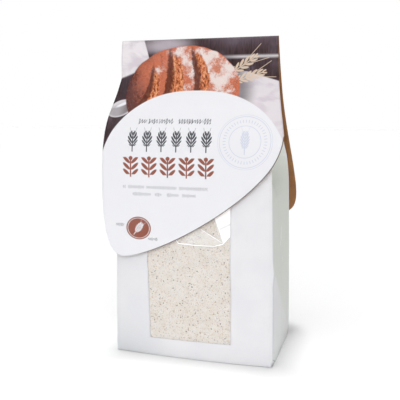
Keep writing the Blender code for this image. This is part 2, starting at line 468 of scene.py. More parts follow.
def cornerPull(row, x, y, z):
    # how far an upright edge stands in at the folded corners of the foot, or out at its kink
    depth = max(0.0, min(y - row["front"], row["back"] - y))
    share = clamp(1 - (z + depth * bag["cornerSlope"]) / bag["cornerHeight"])
    nearSide = smoothStep(abs(x), row["half"] - 12, row["half"] - 1)
    if x < 0:
        return -bag["leftTuck"] * share * nearSide
    low, middle, high = bag["kinkLevels"]
    kink = smoothStep(z, low, middle) * (1 - smoothStep(z, middle, high))
    kink *= bag["edgeKink"] * smoothStep(-y, -row["front"] - 16, -row["front"] - 1)
    return (bag["cornerTuck"] * share - kink) * nearSide


def inwardNormals(points):
    found = []
    for before, after in zip(points[-1:] + points[:-1], points[1:] + points[:1]):
        run = (after - before).normalized()
        found.append(Vector((-run.y, run.x)))
    return found


def loftFaces(rows, columns, skip=None):
    faces = []
    for i in range(rows - 1):
        for j in range(columns):
            if skip and skip(i, j):
                continue
            k = (j + 1) % columns
            faces.append((i * columns + j, i * columns + k, (i + 1) * columns + k, (i + 1) * columns + j))
    return faces


def gridFaces(rows, columns):
    # faces between rows + 1 lines of columns + 1 points
    corners = [i * (columns + 1) + j for i in range(rows) for j in range(columns)]
    return [(a, a + 1, a + columns + 2, a + columns + 1) for a in corners]


# White paper of the bag

paperLook = {
    "white": srgb(241, 240, 243),
    "cloud": srgb(237, 237, 241),
    "worn": srgb(226, 228, 230),
    "fibre": srgb(222, 223, 222),
    # the next five colours are painted light and shade: a grey for painted shade at the left of the front
    # and beside the front edges, a grey-green for painted shade on the sides, near-whites for painted
    # highlights and for the lit facet, and a blue-grey for painted shade in the corner creases
    "paintedShade": srgb(213, 216, 219),
    "side": srgb(226, 230, 221),
    "bright": srgb(252, 253, 255),
    "facet": srgb(248, 251, 249),
    "creaseShade": srgb(190, 194, 202),
    # small dents on the right side, each painted brighter as a highlight, as (start, end, width, softness),
    # each point as (y, z)
    "dentsAndHighlights": (((2.4, 80.6), (4.6, 83.0), 0.8, 0.4), ((7.0, 67.8), (8.4, 70.0), 0.8, 0.4)),
    # a smudge of painted highlight on the right side, as (start, end, width, softness)
    "paintedSmudgeHighlight": ((9.2, 92.5), (6.7, 84.5), 2.4, 1.6),
    "facetSlope": 0.96,  # the painted light facet's edge falls this much for each millimetre back
    "facetHeight": 75.5,
    "facetTop": 64,
    "roughness": 0.62,
}


def makePaper():
    g = Graph("whiteBagPaper", paperLook)
    x, y, z = g.place()
    here = g.vector(x, y, z)
    wear = g.attribute("foldWear")
    clouds = g.noise(here, 0.045, 3.0)
    fibres = g.noise(g.vector(x, y, z * 0.35), 1.9, 4.0, 0.65)
    grain = g.noise(here, 3.2, 3.0, 0.6)
    wrinkles = abs(g.noise(here, 0.11, 3.0, 0.55, 0.8) - 0.5)
    creaseLine = g.under(wrinkles, 0.012, 0.012)
    nearFold = g.over(wear, 0.05, 0.05)
    onSide = g.attribute("sidePanel")
    # painted light and shade on the sides: the facet under a side's crease catches more light and is
    # painted lighter near the foot, and the rest of each side is painted darker, more so towards the top
    facet = g.under(z + (y + 38) * paperLook["facetSlope"], paperLook["facetHeight"], 3)
    facet *= g.under(z, paperLook["facetTop"], 3)
    facet *= 1 - g.over(y, -2, 34) * 0.85
    # painted shade: a darker strip on each side beside the front edge, below the crease
    edgeStripShade = onSide * g.under(y, -34, 1.2) * g.under(z, 66, 3)
    # painted shade: the left of the front is darker, most of all towards the foot
    leftFront = g.under(x, -32, 30) * g.under(y, -30, 1)
    # painted shade along the crease of each folded corner at the foot
    cornerLine = z + (y + 37.5) * bag["cornerSlope"] - bag["cornerHeight"]
    cornerCreaseShade = onSide * g.under(abs(cornerLine), 0.3, 0.25) * g.under(y, -25, 0.4)
    # painted highlights: small bright marks on the right side, whose dents are also bumped, and a bright
    # smudge
    dentsAndHighlights = g.highest(*[g.stroke(y, z, *dent) for dent in paperLook["dentsAndHighlights"]]) * onSide * g.over(x, 0, 1)
    paintedSmudgeHighlight = g.stroke(y, z, *paperLook["paintedSmudgeHighlight"]) * onSide * g.over(x, 0, 1)
    colour = g.paint(
        "white",
        (g.step(clouds, 0.35, 0.7), "cloud"),
        (g.step(fibres, 0.56, 0.78) * 0.35, "fibre"),
        (wear * g.step(grain, 0.35, 0.65) * 0.6, "worn"),
        # the next layers paint shade on the left of the front, on the sides and beside the front edges,
        # light on the facet, highlights on the marks, and shade in the corner creases
        (leftFront * (0.2 + g.under(z, 14, 26) * 0.75), "paintedShade"),
        (onSide * (1 - facet) * (0.55 + g.over(z, 42, 36) * 0.4), "side"),
        (onSide * facet * g.under(z, 22, 22), "facet"),
        (edgeStripShade * 0.6, "paintedShade"),
        (paintedSmudgeHighlight * 0.5, "bright"),
        (dentsAndHighlights * 0.9, "bright"),
        (cornerCreaseShade, "creaseShade"))
    g.give("Base Color", colour)
    g.give("Roughness", paperLook["roughness"] + (grain - 0.5) * 0.12 + wear * 0.08)
    fine = g.bump(fibres + grain * 0.6, 0.25, 0.05)
    g.give("Normal", g.bump(creaseLine * (0.25 + nearFold) + dentsAndHighlights * 0.6, 0.35, 0.12, fine))
    return g.material


bagLayout = {"left": 18, "window": 46, "right": 20, "corner": 4, "panel": 14, "fold": 2, "back": 60}


def bagLevels():
    low = spread(bag["baseGap"], bag["baseRounding"], 3)
    low += spread(bag["baseRounding"], window["foot"], 14)
    high = spread(window["foot"], window["top"], 76) + spread(window["top"], bag["top"], 60)
    return low + high + [bag["top"]]


def slopeShare(x):
    # from 0 at the left to 1 at the right end of the front flap's sloping lower edge
    return clamp((x + 53) / 110)


def reliefAt(x, y, z, wear, row):
    size = bag["reliefSize"]
    waves = bag["relief"] * noise.noise(Vector((x, y, z * 0.8)) / size + Vector((3.1, 0.4, 7.7)))
    waves += bag["ripple"] * noise.noise(Vector((x, y, z)) / bag["rippleSize"] + Vector((1.7, 5.2, 0.3)))
    waves *= (1 - 0.8 * wear) * smoothStep(z, 1, 12) * mix(1, 0.25, smoothStep(z, 146, 165))
    if y < row["front"] + 1:
        cardFoot = mix(71, 140, slopeShare(x))
        covered = smoothStep(z, cardFoot - 8, cardFoot)
        waves = mix(waves, min(0.0, waves) * 0.5, covered)
        hole = max(row["windowLeft"] - x, x - row["windowRight"], window["foot"] - z)
        waves *= 0.3 + 0.7 * smoothStep(hole, 0, 12)
    return waves


def makeBagPaper():
    levels = bagLevels()
    points = []
    wears = []
    panels = []
    for z in levels:
        row = bagRow(max(z, bag["baseRounding"]))
        section = sectionPoints(row, bagLayout)
        flat = [p for p, wear in section]
        lowness = clamp((bag["baseRounding"] - z) / (bag["baseRounding"] - bag["baseGap"]))
        tuck = bag["baseTuck"] * (1 - math.sqrt(1 - lowness ** 2))
        for (p, wear), normal in zip(section, inwardNormals(flat)):
            relief = reliefAt(p.x, p.y, z, wear, row)
            x = p.x + normal.x * (tuck - relief) - cornerPull(row, p.x, p.y, z)
            y = p.y + normal.y * (tuck - relief)
            tilt = window["tilt"] * (x + 1) * math.exp(-((z - window["foot"]) / 5) ** 2)
            points.append((x, y, z + (tilt if p.y < row["front"] + 0.5 else 0)))
            wears.append(max(wear, math.exp(-z / 0.8)))
            panels.append(1.0 if row["front"] + 0.8 < p.y < row["back"] - 0.8 else 0.0)
    columns = len(flat)
    firstRow = levels.index(window["foot"])
    lastRow = levels.index(window["top"])
    firstColumn = bagLayout["left"]
    lastColumn = firstColumn + bagLayout["window"]

    def inWindow(i, j):
        return firstRow <= i < lastRow and firstColumn <= j < lastColumn

    faces = loftFaces(len(levels), columns, inWindow)
    faces.append(tuple(range(columns))[::-1])
    item = meshObject("bagPaper", points, faces, [makePaper()])
    storeNumbers(item, "foldWear", wears)
    storeNumbers(item, "sidePanel", panels)
    dropLoose(item)
    addWall(item, bag["paper"])
    return plainMesh(item, "bagPaper")


def dropLoose(item):
    # the points inside the window, which no face uses
    shape = bmesh.new()
    shape.from_mesh(item.data)
    bmesh.ops.delete(shape, geom=[v for v in shape.verts if not v.link_faces], context="VERTS")
    shape.to_mesh(item.data)
    shape.free()


# The folds of the block bottom, glued flat under the bag

baseLook = {
    "sheet": 0.08,
    "flaps": (
        ((-46, -6), (46, -6), (56.8, 35.6), (-56.8, 35.6)),
        ((-56.8, -35.6), (56.8, -35.6), (46, 6), (-46, 6)),
    ),
    "levels": (0.0, 0.09),
}


def makeBaseFolds(paper):
    points = []
    faces = []
    for ring, low in zip(baseLook["flaps"], baseLook["levels"]):
        foot = range(len(points), len(points) + len(ring))
        points += [(x, y, z) for z in (low, low + baseLook["sheet"]) for x, y in ring]
        faces += [tuple(foot)[::-1], tuple(i + len(ring) for i in foot)]
        faces += [tuple(foot[0] + i for i in face) for face in loftFaces(2, len(ring))]
    item = meshObject("baseFolds", points, faces, [paper])
    item.data.shade_flat()
    return item


# Flour behind the film

flour = {
    "inset": 0.44,
    "low": 1.1,
    "top": 149.6,
    "fineLow": 9.0,
    "fineTop": 121.0,
    "fineStep": 0.5,
    "pit": 0.26,
    "grains": ((1.1, 0.5), (3.4, 0.35), (9.0, 0.3)),  # size and share of each roughness
    "footInset": 0.7,
    "speckSize": 1.05,
}
flourLook = {
    "cream": srgb(238, 232, 225),
    "shade": srgb(206, 197, 188),
    # warm is the lumps' own tone, and is also painted shade near the top of the window
    "warm": srgb(231, 221, 208),
    "speck": srgb(176, 150, 124),
    "darkSpeck": srgb(138, 116, 100),
}


def makeFlourFinish():
    g = Graph("wholemealFlour", flourLook, Roughness=0.95)
    x, y, z = g.place()
    here = g.vector(x, y, z)
    lumps = g.noise(here, 0.16, 4.0, 0.6)
    grain = g.noise(here, 1.5, 4.0, 0.7)
    dust = g.noise(here, 4.5, 2.0, 0.7)
    specks = g.node("ShaderNodeTexVoronoi", {"feature": "F1"},
                    {"Vector": here, "Scale": flour["speckSize"]})
    pick = g.node("ShaderNodeSeparateColor", None, {0: specks.also("Color")})
    fleck = g.under(specks, 0.17, 0.05) * g.over(pick, 0.8, 0.02)
    dark = fleck * g.over(pick.also("Green"), 0.7, 0.02)
    colour = g.paint(
        "cream",
        (g.step(lumps, 0.42, 0.66) * 0.5, "warm"),
        # painted shade: darker and warmer towards the top of the window, under the card's edge
        (g.over(z, 98, 9) * 0.4, "warm"),
        (g.step(grain, 0.5, 0.7) * 0.6, "shade"),
        (fleck * 0.8, "speck"),
        (dark * 0.8, "darkSpeck"))
    g.give("Base Color", colour)
    g.give("Normal", g.bump(grain + dust * 0.6, 0.6, 0.12))
    return g.material


flourLayout = {"left": 10, "window": 126, "right": 10, "corner": 3, "panel": 5, "fold": 1, "back": 16}


def makeFlourMass():
    levels = [flour["low"], 2.0] + spread(3.0, flour["fineLow"], 3)
    fine = round((flour["fineTop"] - flour["fineLow"]) / flour["fineStep"])
    levels += spread(flour["fineLow"], flour["fineTop"], fine)
    levels += spread(flour["fineTop"], flour["top"], 14) + [flour["top"]]
    points = []
    for z in levels:
        row = bagRow(max(z, bag["baseRounding"]))
        flat = [p for p, wear in sectionPoints(row, flourLayout)]
        foot = flour["footInset"] * clamp((3 - z) / 2)
        for p, normal in zip(flat, inwardNormals(flat)):
            here = Vector((p.x, p.y, z))
            inset = flour["inset"] + foot
            if p.y < row["front"] + 0.5:
                rough = sum(noise.noise(here / size) * share for size, share in flour["grains"])
                inset += flour["pit"] * clamp(rough + 0.35)
            pull = cornerPull(row, p.x, p.y, z)
            points.append((p.x + normal.x * inset - pull, p.y + normal.y * inset, z))
    columns = len(flat)
    faces = loftFaces(len(levels), columns)
    for z in (levels[0], levels[-1]):
        row = bagRow(z)
        points.append((0, (row["front"] + row["back"]) / 2, z))
    last = (len(levels) - 1) * columns
    for j in range(columns):
        k = (j + 1) % columns
        faces.append((k, j, len(points) - 2))
        faces.append((last + j, last + k, len(points) - 1))
    return meshObject("flourMass", points, faces, [makeFlourFinish()])


# Geometry trees

class Tree:
    def __init__(self, name):
        self.tree = bpy.data.node_groups.new(name, "GeometryNodeTree")
        self.tree.interface.new_socket("Geometry", in_out="INPUT", socket_type="NodeSocketGeometry")
        self.tree.interface.new_socket("Geometry", in_out="OUTPUT", socket_type="NodeSocketGeometry")
        self.values = {}

    def ask(self, name, kind, value):
        # a named input of the modifier
        self.tree.interface.new_socket(name, in_out="INPUT", socket_type="NodeSocket" + kind)
        self.values[name] = value

    def begin(self):
        self.start = self.tree.nodes.new("NodeGroupInput")
        return self.start.outputs["Geometry"]

    def asked(self, name):
        return self.start.outputs[name]

    def node(self, kind, settings=None, inputs=None):
        made = self.tree.nodes.new(kind)
        for key, value in (settings or {}).items():
            setattr(made, key, value)
        for key, value in (inputs or {}).items():
            if isinstance(value, bpy.types.NodeSocket):
                self.tree.links.new(value, made.inputs[key])
            else:
                made.inputs[key].default_value = value
        return made

    def maths(self, operation, *values):
        return self.node("ShaderNodeMath", {"operation": operation}, dict(enumerate(values))).outputs[0]

    def parts(self, vector):
        return self.node("ShaderNodeSeparateXYZ", None, {0: vector}).outputs

    def vectors(self, operation, *values):
        made = self.node("ShaderNodeVectorMath", {"operation": operation}, dict(enumerate(values)))
        return made.outputs[0]

    def store(self, geometry, name, value, kind="FLOAT", domain="POINT"):
        made = self.node("GeometryNodeStoreNamedAttribute", {"data_type": kind, "domain": domain},
                         {"Geometry": geometry, "Name": name, "Value": value})
        return made.outputs[0]

    def dress(self, geometry, finish, where=True):
        made = self.node("GeometryNodeSetMaterial", None,
                         {"Geometry": geometry, "Selection": where, "Material": self.asked(finish)})
        return made.outputs[0]

    def scaled(self, vector, amount):
        made = self.node("ShaderNodeVectorMath", {"operation": "SCALE"}, {0: vector, "Scale": amount})
        return made.outputs[0]

    def end(self, geometry):
        finish = self.tree.nodes.new("NodeGroupOutput")
        self.tree.links.new(geometry, finish.inputs["Geometry"])

    def applyTo(self, item, name):
        grower = item.modifiers.new(name, "NODES")
        grower.node_group = self.tree
        for socket in self.tree.interface.items_tree:
            if socket.in_out == "INPUT" and socket.name in self.values:
                grower[socket.identifier] = self.values[socket.name]
        bpy.context.view_layer.update()
        return plainMesh(item, name)


# Bran flakes pressed against the film. Lengths are in metres here, because the modifier takes them so

bran = {
    "density": 520000.0,  # per square metre
    "gap": 0.0005,
    "seed": 11,
    "size": 0.00034,
    "lift": 0.00002,
    "left": -0.0345,
    "right": 0.031,
    "low": 0.0095,
    "top": 0.120,
    "tilt": 0.35,  # most that a flake leans off the surface, in radians
    "rarity": 3.5,  # higher for fewer large flakes
    "smallest": 0.72,
    "largerBy": 1.3,
    "thin": (0.7, 0.5, 0.12),  # least and most length, width and thickness, as shares of the size
    "thick": (1.5, 1.0, 0.22),
}
branLook = {"straw": srgb(222, 200, 170), "brown": srgb(158, 122, 94), "dark": srgb(90, 78, 68)}


def makeBranFinish():
    g = Graph("branShell", branLook, Roughness=0.8)
    x, y, z = g.place()
    tone = g.attribute("tone")
    mottle = g.noise(g.vector(x, y, z), 2.5, 2.0)
    colour = g.paint(
        "straw",
        (g.step(tone, 0.35, 0.75), "brown"),
        (g.step(tone, 0.7, 0.82), "dark"))
    g.give("Base Color", g.blend(g.step(mottle, 0.4, 0.8) * 0.4, colour, "straw"))
    g.give("Normal", g.bump(mottle, 0.4, 0.05))
    return g.material


def makeBranFlakes(flourMass):
    tree = Tree("scatterBran")
    tree.ask("Density", "Float", bran["density"])
    tree.ask("Smallest Gap", "Float", bran["gap"])
    tree.ask("Seed", "Int", bran["seed"])
    tree.ask("Flake Size", "Float", bran["size"])
    tree.ask("Lift", "Float", bran["lift"])
    tree.ask("Flake Finish", "Material", makeBranFinish())
    surface = tree.begin()
    place = tree.parts(tree.node("GeometryNodeInputPosition").outputs[0])
    facing = tree.parts(tree.node("GeometryNodeInputNormal").outputs[0])
    inside = tree.maths("LESS_THAN", facing["Y"], -0.3)
    for axis, low, high in (("X", bran["left"], bran["right"]), ("Z", bran["low"], bran["top"])):
        inside = tree.maths("MULTIPLY", inside, tree.maths("GREATER_THAN", place[axis], low))
        inside = tree.maths("MULTIPLY", inside, tree.maths("LESS_THAN", place[axis], high))
    scatter = tree.node("GeometryNodeDistributePointsOnFaces", {"distribute_method": "POISSON"},
                        {"Mesh": surface, "Selection": inside,
                         "Distance Min": tree.asked("Smallest Gap"), "Density Max": tree.asked("Density"),
                         "Seed": tree.asked("Seed")})
    flake = tree.node("GeometryNodeMeshIcoSphere", None,
                      {"Radius": tree.asked("Flake Size"), "Subdivisions": 1})

    def anyNumber(low, high, extra):
        # random between two numbers or two vectors, whose sockets come in that order
        isVector = isinstance(low, tuple)
        made = tree.node("FunctionNodeRandomValue", {"data_type": "FLOAT_VECTOR" if isVector else "FLOAT"},
                         {"Seed": tree.maths("ADD", tree.asked("Seed"), extra),
                          0 if isVector else 2: low, 1 if isVector else 3: high})
        return made.outputs[0 if isVector else 1]

    tilt = bran["tilt"]
    spin = tree.node("ShaderNodeCombineXYZ", None,
                     {0: anyNumber(-tilt, tilt, 3), 1: anyNumber(-tilt, tilt, 4), 2: anyNumber(0, 6.3, 5)})
    turn = tree.node("FunctionNodeEulerToRotation", None, {0: spin.outputs[0]})
    align = tree.node("FunctionNodeRotateRotation", {"rotation_space": "LOCAL"},
                      {"Rotation": scatter.outputs["Rotation"], "Rotate By": turn.outputs[0]})
    rarity = tree.maths("POWER", anyNumber(0.0, 1.0, 8), bran["rarity"])
    size = tree.maths("MULTIPLY_ADD", rarity, bran["largerBy"], bran["smallest"])
    stretch = anyNumber(bran["thin"], bran["thick"], 7)
    placed = tree.node("GeometryNodeInstanceOnPoints", None,
                       {"Points": scatter.outputs["Points"], "Instance": flake.outputs["Mesh"],
                        "Rotation": align.outputs[0], "Scale": tree.scaled(stretch, size)})
    toned = tree.store(placed.outputs[0], "tone", anyNumber(0.0, 1.0, 9), domain="INSTANCE")
    shift = tree.node("ShaderNodeCombineXYZ", None, {2: tree.asked("Lift")})
    lifted = tree.node("GeometryNodeTranslateInstances", None,
                       {"Instances": toned, "Translation": shift.outputs[0]})
    real = tree.node("GeometryNodeRealizeInstances", None, {0: lifted.outputs[0]})
    tree.end(tree.dress(real.outputs[0], "Flake Finish"))
    bearer = bpy.data.objects.new("branBearer", flourMass.data.copy())
    bpy.context.scene.collection.objects.link(bearer)
    return tree.applyTo(bearer, "branFlakes")


# The film behind the window

film = {
    "left": -37.3,
    "right": 34.1,
    "low": 8.7,
    "top": 138.9,
    "columns": 90,
    "rows": 150,
    "depth": 0.28,
    "sheet": 0.05,
    "ridge": 0.24,
    "ridgeWidth": 0.9,
    "slack": 0.1,
    "slackSize": 9.0,
}
# creases in the film over the gap above the settled flour, as (x, z) in millimetres
filmCreases = {
    "lower": ((-11.5, 88.8), (-9.3, 86.3), (4, 85.7), (17.4, 85.9), (23.4, 87.7), (28.4, 93.4)),
    "slope": ((7.5, 97.4), (15, 93.0), (23.4, 88.6)),
    "upper": ((17.0, 106.5), (19.7, 94.4), (23.4, 88.6)),
    "streak": ((21.6, 98.3), (28.4, 102.0)),
}


def distanceTo(line, x, z):
    best = 1e9
    for (ax, az), (bx, bz) in zip(line, line[1:]):
        runX = bx - ax
        runZ = bz - az
        t = clamp(((x - ax) * runX + (z - az) * runZ) / (runX * runX + runZ * runZ))
        best = min(best, math.hypot(x - ax - runX * t, z - az - runZ * t))
    return best


filmLook = {
    # glare is the white that shows wherever Alpha rises, and shine the Emission Color that makes marks
    # glow: together they paint the light's reflection along the film's creases, over a bright patch and in
    # a glint, and the haze of its fold
    "glare": srgb(255, 255, 255),
    "black": srgb(0, 0, 0),
    "shine": srgb(120, 120, 120),
    "widths": {"lower": (0.8, 0.34), "slope": (0.8, 0.6), "upper": (0.4, 0.7), "streak": (1.2, 1.0)},
    "knot": (23.4, 88.6),  # where the creases meet, as (x, z)
    "fold": (-9.0, 24.0, 86.2),  # left, right and foot of the fold, which is partly hazy film and partly painted reflection
    "foldSlope": 0.56,
    "patchFoot": 87.0,
    "patchSlope": 0.36,
    "patchEdge": (88.0, 1.1),  # height at the knot and slope of the lower edge of the patch of painted reflection
    "clear": 0.05,
    "haze": 0.15,
    "glarePatch": 0.9,
    # a small painted glint, as centre, radii and soft rim
    "spot": ((28.2, 65.7), (0.5, 0.5), 0.25),
    "roughness": 0.16,
}


def makeFilmFinish():
    g = Graph("clearBagFilm", filmLook, Base_Color=filmLook["glare"], IOR=1.5, Emission_Strength=1.0)
    x, y, z = g.place()
    veil = g.noise(g.vector(x * 0.6, y, z), 0.12, 3.0, 0.5, 0.6)

    def trace(name):
        line = filmCreases[name]
        return g.highest(*[g.stroke(x, z, start, end, *filmLook["widths"][name])
                           for start, end in zip(line, line[1:])])

    lower = trace("lower")
    slope = trace("slope")
    upper = trace("upper")
    streak = trace("streak")
    knotX, knotZ = filmLook["knot"]
    # the fold of film between its lower and its sloping crease, partly hazy and partly painted reflection,
    # and the patch of painted reflection at their right
    left, right, foot = filmLook["fold"]
    foldTop = knotZ + (knotX - x) * filmLook["foldSlope"]
    fold = g.over(z - foot, 0.4, 0.4) * g.under(z - foldTop, 0.0, 0.8)
    fold = fold * g.under(x, right, 1.0) * g.over(x, left, 2.0)
    edgeHeight, edgeSlope = filmLook["patchEdge"]
    glarePatch = g.over(x - (knotX - (z - knotZ) * filmLook["patchSlope"]), 0.0, 0.7)
    glarePatch = glarePatch * g.over(z - (edgeHeight + (x - knotX) * edgeSlope), 0.2, 0.6)
    glarePatch = glarePatch * g.over(z, filmLook["patchFoot"], 0.8)
    # painted highlights: the creases, the patch and the fold glow through Emission Color, though the film
    # is no lamp
    shine = g.highest(lower, slope * 0.8, glarePatch * (1 - streak * 0.6), upper * 0.4, fold * 0.5)
    g.give("Emission Color", g.blend(shine, "black", "shine"))
    # Alpha shows the white: a faint veil everywhere, haze in the fold, and painted reflection in the patch,
    # along the creases and in the glint
    hazed = filmLook["clear"] + veil * 0.05 + fold * filmLook["haze"] * (0.6 + veil * 0.8)
    g.give("Alpha", g.highest(hazed, glarePatch * (filmLook["glarePatch"] - streak * 0.3), lower * 0.95, slope * 0.75,
                              upper * 0.6, g.disc(x, z, *filmLook["spot"]) * 0.9))
    g.give("Roughness", filmLook["roughness"] + veil * 0.1)
    g.give("Normal", g.bump(veil + g.noise(g.vector(x, y, z), 0.5, 2.0) * 0.3, 0.3, 0.3))
    return g.material


def makeWindowFilm():
    points = []
    rows = film["rows"]
    columns = film["columns"]
    for i in range(rows + 1):
        z = mix(film["low"], film["top"], i / rows)
        row = bagRow(z)
        for j in range(columns + 1):
            x = mix(film["left"], film["right"], j / columns)
            ridge = 0.0
            if 80 < z < 112:
                for line in filmCreases.values():
                    ridge = max(ridge, math.exp(-(distanceTo(line, x, z) / film["ridgeWidth"]) ** 2))
            inWindow = smoothStep(min(x - row["windowLeft"], row["windowRight"] - x), 0.3, 3)
            slack = film["slack"] * noise.noise(Vector((x, 0, z)) / film["slackSize"])
            slack *= smoothStep(z, 86, 94)
            lift = (ridge * film["ridge"] + max(0.0, slack)) * inWindow
            points.append((x, frontY(row, x) + film["depth"] - lift, z))
    item = meshObject("windowFilm", points, gridFaces(rows, columns), [makeFilmFinish()])
    addWall(item, film["sheet"])
    return plainMesh(item, "windowFilm")


# The header card: a flat printed sheet, bent over the neck

card = {
    "thickness": 0.5,
    "foldZ": 229.6,
    "foldRadius": 1.4,
    "backAngle": 32.4,
    "reach": 175.0,
    "columns": 84,
    "frontRows": 104,
    "backRows": 96,
    "foldRows": (0.35, 0.7, 1.1, 1.5, 2.0, 2.6, 3.4, 4.4),
    "crowding": 1.35,  # how much closer the rows stand at the round foot
    "wave": 0.12,
    "waveSize": 0.045,
    "edgeReach": 6.0,
}
frontFlapY = ((60, -40.2), (90, -40.4), (112, -40.3), (135, -40.0), (152, -39.1), (164, -36.8),
              (176, -32.2), (187, -27.8), (196, -26.1), (204, -26.0), (212, -26.8), (218, -27.0),
              (224, -26.2), (229.6, -25.6))
# outlines of the two flaps as Bezier curves of (x, distance down from the fold)
frontOutline = (
    ((-56.6, 0), (-56.6, 8), (-56.7, 20), (-57.4, 28)),
    ((-57.4, 28), (-60.3, 36), (-64.8, 48), (-66.4, 60)),
    ((-66.4, 60), (-67.2, 70), (-68.1, 88), (-68.1, 104)),
    ((-68.1, 104), (-68.1, 130), (-66.8, 159.6), (-52, 159.6)),
    ((-52, 159.6), (-29, 159.6), (36.5, 122.8), (57.6, 92)),
    ((57.6, 92), (62.4, 84.5), (65, 77), (65, 70)),
    ((65, 70), (63.6, 60), (59.7, 45), (59, 29)),
    ((59, 29), (58.8, 20), (58.3, 8), (58, 0)),
)
backOutline = (
    ((58, 0), (57.5, 8), (57.2, 30), (57.3, 45)),
    ((57.3, 45), (57.6, 75), (61.4, 102), (62.1, 130)),
    ((62.1, 130), (62.3, 150), (59, 160), (46, 160)),
    ((46, 160), (24, 160), (-37, 121), (-57.4, 91.5)),
    ((-57.4, 91.5), (-62.3, 84), (-65, 77), (-65, 70)),
    ((-65, 70), (-64.5, 61), (-58, 46), (-57.4, 28)),
    ((-57.4, 28), (-56.7, 20), (-56.6, 8), (-56.6, 0)),
)


def foldPath():
    # (y, z) from the front flap's foot over the fold to the back, and the distance to the fold
    foot = frontFlapY[0][0]
    heights = spread(foot, card["foldZ"], 240) + [card["foldZ"]]
    path = [Vector((curveValue(frontFlapY, z), z)) for z in heights]
    radius = card["foldRadius"]
    centre = Vector((path[-1].x + radius, card["foldZ"]))
    turn = math.pi - math.radians(card["backAngle"])
    for i in range(1, 17):
        angle = turn * i / 16
        path.append(centre + radius * Vector((-math.cos(angle), math.sin(angle))))
    down = Vector((math.sin(turn), math.cos(turn)))
    last = path[-1]
    path += [last + down * card["reach"] * i / 40 for i in range(1, 41)]
    top = max(range(len(path)), key=lambda i: path[i].y)
    distance = sum((b - a).length for a, b in zip(path[:top], path[1:top + 1]))
    return path, distance


def flapSides(curves):
    points = []
    for curve in curves:
        points += interpolate_bezier(*[Vector((x, down, 0)) for x, down in curve], 60)
    foot = max(range(len(points)), key=lambda i: points[i].y)
    return [(p.y, p.x) for p in points[:foot + 1]], [(p.y, p.x) for p in reversed(points[foot:])]


def sideX(edge, distance):
    if distance <= edge[0][0]:
        return edge[0][1]
    for (s0, x0), (s1, x1) in zip(edge, edge[1:]):
        if s0 <= distance <= s1 and s1 > s0:
            return mix(x0, x1, (distance - s0) / (s1 - s0))
    return edge[-1][1]


def flapRows(curves, count):
    # rows of (distance from the fold, left x, right x), close together over the fold and at the round foot
    sides = flapSides(curves)
    foot = sides[0][-1][0] - 0.02
    start = card["foldRows"][-1]
    distances = list(card["foldRows"])
    for i in range(1, count + 1):
        t = 1 - (1 - i / count) ** card["crowding"]
        distances.append(mix(start, foot, 0.5 * t + 0.5 * math.sin(t * math.pi / 2)))
    return [(d, *sorted(sideX(side, d) for side in sides)) for d in distances]


# the white field of the front print, a full oval on the flap
field = {"centre": (0, 118), "radii": (72, 81), "roundness": 2.4, "inside": 0.985}


def fieldReach(x, down):
    # 1 on the rim of the white field, for numbers and for shader values
    across, along = [abs((value - middle) / radius) ** field["roundness"]
                     for value, middle, radius in zip((x, down), field["centre"], field["radii"])]
    return (across + along) ** (1 / field["roundness"])


def edgeDistance(slope, x, down):
    # distance to the sloping lower edge, measured only in its neighbourhood
    guess = mix(159, 91, slopeShare(x))
    if down < 60 or min(abs(down - guess), abs(x - 61)) > card["edgeReach"] * 6:
        return card["edgeReach"]
    return distanceTo(slope, x, down)


def flatSheet():
    # the card before it is folded. Each face notes its print: 0 picture, 1 white field, 2 back
    front = flapRows(frontOutline, card["frontRows"])
    back = flapRows(backOutline, card["backRows"])
    rows = front[::-1]
    rows.append((0.0, frontOutline[0][0][0], frontOutline[-1][-1][0]))
    rows += [(-d, left, right) for d, left, right in back]
    columns = card["columns"]
    points = []
    for down, left, right in rows:
        points += [(mix(left, right, j / columns), down, 0) for j in range(columns + 1)]
    faces = gridFaces(len(rows) - 1, columns)
    regions = []
    for corners in faces:
        down = max(points[k][1] for k in corners)
        edge = max(fieldReach(points[k][0], points[k][1]) for k in corners)
        regions.append(2 if down <= 0 else 1 if edge < field["inside"] else 0)
    item = meshObject("flatCard", points, faces)
    slope = [(p.x, p.y) for curve in frontOutline[4:6]
             for p in interpolate_bezier(*[Vector((x, down, 0)) for x, down in curve], 40)]
    storeNumbers(item, "cutEdgeAndShadow", [edgeDistance(slope, x, down) for x, down, z in points])
    attribute = item.data.attributes.new("region", "INT", "FACE")
    attribute.data.foreach_set("value", regions)
    return item


printLook = {
    "white": srgb(245, 245, 249),
    "grey": srgb(70, 72, 79),
    "brick": srgb(155, 92, 76),
    "fineGrey": srgb(146, 147, 153),
    "seal": srgb(200, 208, 230),
    "wood": srgb(76, 54, 57),
    "woodDark": srgb(40, 24, 27),
    "woodLight": srgb(150, 134, 150),
    "crust": srgb(208, 115, 82),
    "crustDark": srgb(94, 42, 30),
    "crustLight": srgb(228, 170, 142),
    "crumb": srgb(212, 118, 72),
    "crumbLight": srgb(244, 180, 134),
    "flour": srgb(244, 232, 228),
    "linen": srgb(243, 237, 240),
    "linenShade": srgb(214, 204, 212),
    "straw": srgb(230, 206, 184),
    "steel": srgb(222, 218, 222),
    # the line along the sloping lower edge: the card's brown core at its cut edge, darkened further as
    # painted shadow of the gap under the edge
    "cutEdgeAndShadow": srgb(92, 72, 64),
    "kraft": srgb(160, 112, 68),
    "kraftDark": srgb(136, 94, 56),
    "kraftFleck": srgb(184, 140, 94),
    "cloudTint": 0.03,
    "roughness": 0.42,
    "coat": 0.06,
}


